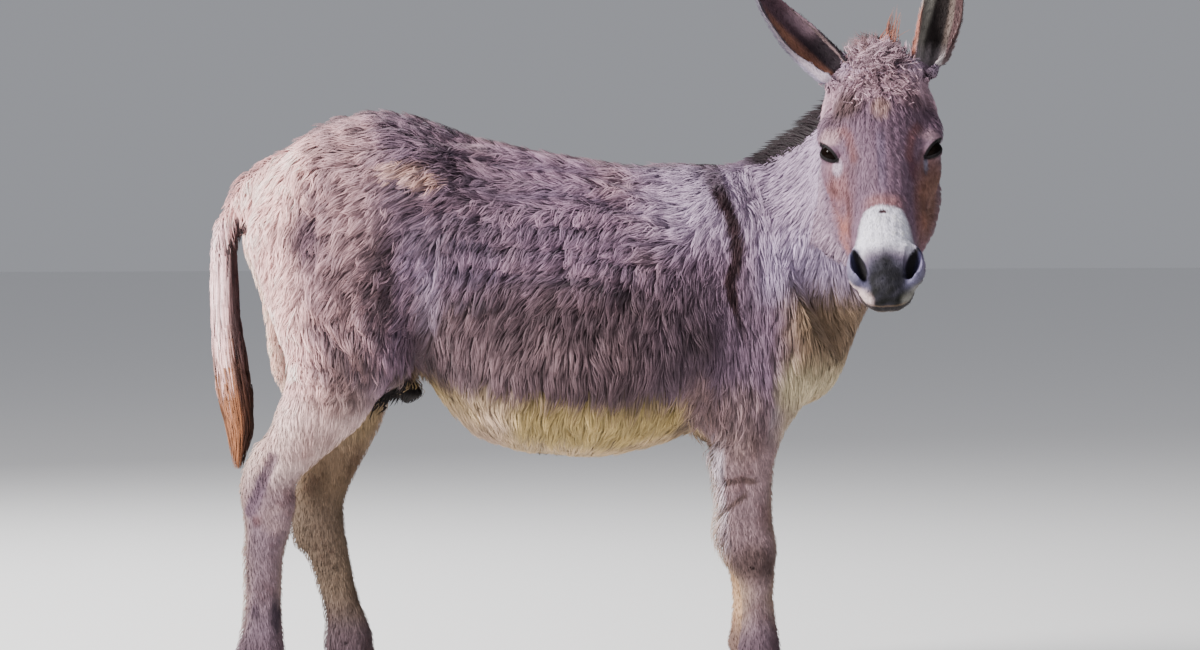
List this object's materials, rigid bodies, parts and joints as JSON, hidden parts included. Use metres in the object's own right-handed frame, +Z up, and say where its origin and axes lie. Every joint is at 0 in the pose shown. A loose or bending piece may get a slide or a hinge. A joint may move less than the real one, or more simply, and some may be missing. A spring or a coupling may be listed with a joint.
{
  "type": "donkey",
  "caption": "Life-size standing donkey figure with its head turned to its right, upright ears, short crest mane and a tufted tail.",
  "frame": {"origin": "middle of the overall box, on the ground under the hooves", "axes": "+X towards the shoulders from the rump, +Y towards the animal's left, +Z up; the head is turned towards -Y"},
  "size_m": [1.3964, 0.7746, 1.4867],
  "materials": {
    "coat": "shaggy grey-brown fur",
    "face_coat": "short grey-brown fur, rusty cheeks, white nose band, grey muzzle",
    "ear_coat": "short fur, dark inside, pale rim",
    "leg_coat": "short paler fur",
    "eye": "wet gloss",
    "horn": "matt horn",
    "dark_skin": "matt skin",
    "tail_hair": "coarse chestnut hair"
  },
  "bodies": {
    "root": {"torso": "coat", "neck": "coat", "head": "face_coat", "ear_right": "ear_coat", "ear_left": "ear_coat", "eye_right": "eye", "eye_left": "eye", "leg_front_right": "leg_coat", "leg_front_left": "leg_coat", "leg_hind_right": "leg_coat", "leg_hind_left": "leg_coat", "hoof_front_right": "horn", "hoof_front_left": "horn", "hoof_hind_right": "horn", "hoof_hind_left": "horn", "sheath": "dark_skin", "tail": "coat", "tail_switch": "tail_hair"}
  },
  "joints": []
}
